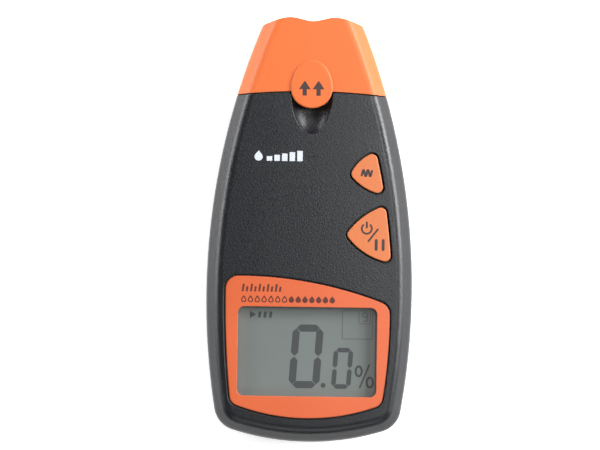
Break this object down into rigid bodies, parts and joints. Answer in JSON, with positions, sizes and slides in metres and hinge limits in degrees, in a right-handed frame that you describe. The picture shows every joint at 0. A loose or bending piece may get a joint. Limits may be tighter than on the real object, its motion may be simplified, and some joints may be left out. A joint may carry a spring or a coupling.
{
  "type": "pin moisture meter",
  "caption": "Handheld moisture meter with a tapered dark case, orange pull-off pin cap, orange display surround, two orange keys, needle pins and a sliding battery door.",
  "frame": {"origin": "middle of the rear face, on which the meter lies", "axes": "+Z out of the front face with the display and keys; +Y along the case towards the pins and their cap; +X to the right as seen from the front"},
  "size_m": [0.068, 0.14, 0.0291],
  "materials": {
    "case_dark": "fine spark-eroded texture",
    "cap_orange": "satin",
    "bezel_orange": "satin",
    "key_orange": "satin",
    "clear_window": "clear acrylic",
    "display_glass": "grey-green reflective",
    "foil": "matt reflector",
    "white_plastic": "moulded",
    "rubber_strip": "layered elastomer",
    "board_green": "solder mask",
    "chip_black": "epoxy",
    "block_plastic": "moulded nylon",
    "brass": "turned",
    "pin_steel": "ground and polished",
    "screw_steel": "zinc plated",
    "lead_red": "wire insulation",
    "lead_black": "wire insulation",
    "battery_jacket": "foil jacket",
    "foam": "closed-cell foam"
  },
  "bodies": {
    "housing": {"front_shell": "case_dark", "rear_shell": "case_dark", "nose_block": "block_plastic", "lcd_bezel": "bezel_orange", "lcd_lens": "clear_window", "lcd_cell": "display_glass", "lcd_reflector": "foil", "lcd_holder": "white_plastic", "contact_strip": "rubber_strip", "main_board": "board_green", "mode_switch": "chip_black", "power_switch": "chip_black", "controller_chip": "chip_black", "board_components": "chip_black", "pin_socket_left": "brass", "pin_socket_right": "brass", "measuring_pin_left": "pin_steel", "measuring_pin_right": "pin_steel", "pin_lead_left": "lead_black", "pin_lead_right": "lead_red", "battery": "battery_jacket", "battery_snap": "block_plastic", "battery_lead_red": "lead_red", "battery_lead_black": "lead_black", "battery_pad": "foam", "housing_screws": "screw_steel", "board_screws": "screw_steel"},
    "cap": {"pin_cap": "cap_orange"},
    "door": {"battery_door": "case_dark"},
    "mode_key": {"mode_button": "key_orange", "mode_plunger": "white_plastic"},
    "power_key": {"power_button": "key_orange", "power_plunger": "white_plastic"}
  },
  "joints": [
    {"name": "cap_pull", "type": "slide", "parent": "housing", "child": "cap", "axis": [0, 1, 0], "range_m": [0, 0.035]},
    {"name": "door_slide", "type": "slide", "parent": "housing", "child": "door", "axis": [0, -1, 0], "range_m": [0, 0.064]},
    {"name": "mode_press", "type": "slide", "parent": "housing", "child": "mode_key", "axis": [0, 0, -1], "range_m": [0, 0.0005], "stiffness_N_per_m": 400, "springref_m": -0.001},
    {"name": "power_press", "type": "slide", "parent": "housing", "child": "power_key", "axis": [0, 0, -1], "range_m": [0, 0.0005], "stiffness_N_per_m": 400, "springref_m": -0.001}
  ]
}
